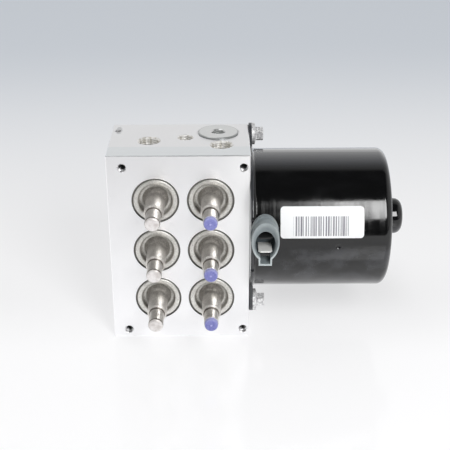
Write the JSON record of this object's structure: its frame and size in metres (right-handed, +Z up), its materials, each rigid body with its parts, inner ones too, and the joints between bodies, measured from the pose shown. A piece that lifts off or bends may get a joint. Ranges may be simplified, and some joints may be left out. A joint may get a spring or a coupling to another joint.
{
  "type": "abs brake module",
  "caption": "Anti-lock brake pressure modulator: aluminium valve block with solenoid valve stems and an electric pump motor on its side.",
  "frame": {"origin": "centre of the valve block's bottom face", "axes": "+X from the block along the motor's axis, -Y out of the valve face, +Z up to the top ports"},
  "size_m": [0.187, 0.1109, 0.1287],
  "materials": {
    "aluminium": "satin",
    "steel": "satin",
    "zinc_steel": "satin",
    "can_paint": "gloss",
    "socket_plastic": "matte",
    "copper": "satin",
    "magnet": "matte",
    "rubber": "matte",
    "label": "matte"
  },
  "bodies": {
    "housing": {"accumulator_covers": "zinc_steel", "accumulator_spring_left": "steel", "accumulator_spring_right": "steel", "ball_plugs": "steel", "brush_card": "socket_plastic", "brush_spring_lower": "steel", "brush_spring_upper": "steel", "can_label": "label", "connector_blades": "copper", "damper_plug": "aluminium", "dump_valve_body_1": "steel", "dump_valve_body_2": "steel", "dump_valve_body_3": "steel", "dump_valve_sleeve_1": "steel", "dump_valve_sleeve_2": "steel", "dump_valve_sleeve_3": "steel", "dump_valve_spring_1": "steel", "dump_valve_spring_2": "steel", "dump_valve_spring_3": "steel", "field_magnets": "magnet", "isolation_valve_body_1": "steel", "isolation_valve_body_2": "steel", "isolation_valve_body_3": "steel", "isolation_valve_sleeve_1": "steel", "isolation_valve_sleeve_2": "steel", "isolation_valve_sleeve_3": "steel", "isolation_valve_spring_1": "steel", "isolation_valve_spring_2": "steel", "isolation_valve_spring_3": "steel", "motor_bearings": "steel", "motor_bolts": "zinc_steel", "motor_can": "can_paint", "motor_end_plate": "zinc_steel", "plug_seals": "rubber", "pump_plug": "aluminium", "pump_sleeves": "steel", "pump_spring_back": "steel", "pump_spring_front": "steel", "valve_block": "aluminium", "valve_seals": "rubber"},
    "rotor": {"motor_shaft": "steel", "armature_core": "zinc_steel", "armature_windings": "copper", "commutator": "copper"},
    "eccentric_ring_body": {"eccentric_ring": "steel"},
    "pump_front": {"pump_piston_front": "steel"},
    "pump_back": {"pump_piston_back": "steel"},
    "isolation_armature_1": {"isolation_valve_armature_1": "steel"},
    "isolation_armature_2": {"isolation_valve_armature_2": "steel"},
    "isolation_armature_3": {"isolation_valve_armature_3": "steel"},
    "dump_armature_1": {"dump_valve_armature_1": "steel"},
    "dump_armature_2": {"dump_valve_armature_2": "steel"},
    "dump_armature_3": {"dump_valve_armature_3": "steel"},
    "accumulator_left": {"accumulator_piston_left": "aluminium", "accumulator_seal_left": "rubber"},
    "accumulator_right": {"accumulator_piston_right": "aluminium", "accumulator_seal_right": "rubber"},
    "brush_upper_body": {"brush_upper": "magnet"},
    "brush_lower_body": {"brush_lower": "magnet"}
  },
  "joints": [
    {"name": "rotor_spin", "type": "hinge", "parent": "housing", "child": "rotor", "pos_m": [0.044, 0, 0.0727], "axis": [1, 0, 0], "continuous": true},
    {"name": "ring_spin", "type": "hinge", "parent": "rotor", "child": "eccentric_ring_body", "pos_m": [0.0361, 0, 0.0739], "axis": [1, 0, 0], "continuous": true},
    {"name": "pump_stroke_front", "type": "slide", "parent": "housing", "child": "pump_front", "axis": [0, 1, 0], "range_m": [0, 0.0012]},
    {"name": "pump_stroke_back", "type": "slide", "parent": "housing", "child": "pump_back", "axis": [0, -1, 0], "range_m": [0, 0.0012]},
    {"name": "isolation_lift_1", "type": "slide", "parent": "housing", "child": "isolation_armature_1", "axis": [0, 1, 0], "range_m": [0, 0.0004], "stiffness_N_per_m": 1000, "springref_m": -0.002},
    {"name": "isolation_lift_2", "type": "slide", "parent": "housing", "child": "isolation_armature_2", "axis": [0, 1, 0], "range_m": [0, 0.0004], "stiffness_N_per_m": 1000, "springref_m": -0.002},
    {"name": "isolation_lift_3", "type": "slide", "parent": "housing", "child": "isolation_armature_3", "axis": [0, 1, 0], "range_m": [0, 0.0004], "stiffness_N_per_m": 1000, "springref_m": -0.002},
    {"name": "dump_lift_1", "type": "slide", "parent": "housing", "child": "dump_armature_1", "axis": [0, -1, 0], "range_m": [0, 0.0004], "stiffness_N_per_m": 1000, "springref_m": -0.002},
    {"name": "dump_lift_2", "type": "slide", "parent": "housing", "child": "dump_armature_2", "axis": [0, -1, 0], "range_m": [0, 0.0004], "stiffness_N_per_m": 1000, "springref_m": -0.002},
    {"name": "dump_lift_3", "type": "slide", "parent": "housing", "child": "dump_armature_3", "axis": [0, -1, 0], "range_m": [0, 0.0004], "stiffness_N_per_m": 1000, "springref_m": -0.002},
    {"name": "accumulator_stroke_left", "type": "slide", "parent": "housing", "child": "accumulator_left", "axis": [0, 0, -1], "range_m": [0, 0.008], "stiffness_N_per_m": 800, "springref_m": -0.003, "deforming": ["accumulator_spring_left"]},
    {"name": "accumulator_stroke_right", "type": "slide", "parent": "housing", "child": "accumulator_right", "axis": [0, 0, -1], "range_m": [0, 0.008], "stiffness_N_per_m": 800, "springref_m": -0.003, "deforming": ["accumulator_spring_right"]},
    {"name": "brush_slide_upper", "type": "slide", "parent": "housing", "child": "brush_upper_body", "axis": [0, 0, 1], "range_m": [0, 0.004], "stiffness_N_per_m": 200, "springref_m": -0.003, "deforming": ["brush_spring_upper"]},
    {"name": "brush_slide_lower", "type": "slide", "parent": "housing", "child": "brush_lower_body", "axis": [0, 0, -1], "range_m": [0, 0.004], "stiffness_N_per_m": 200, "springref_m": -0.003, "deforming": ["brush_spring_lower"]}
  ]
}
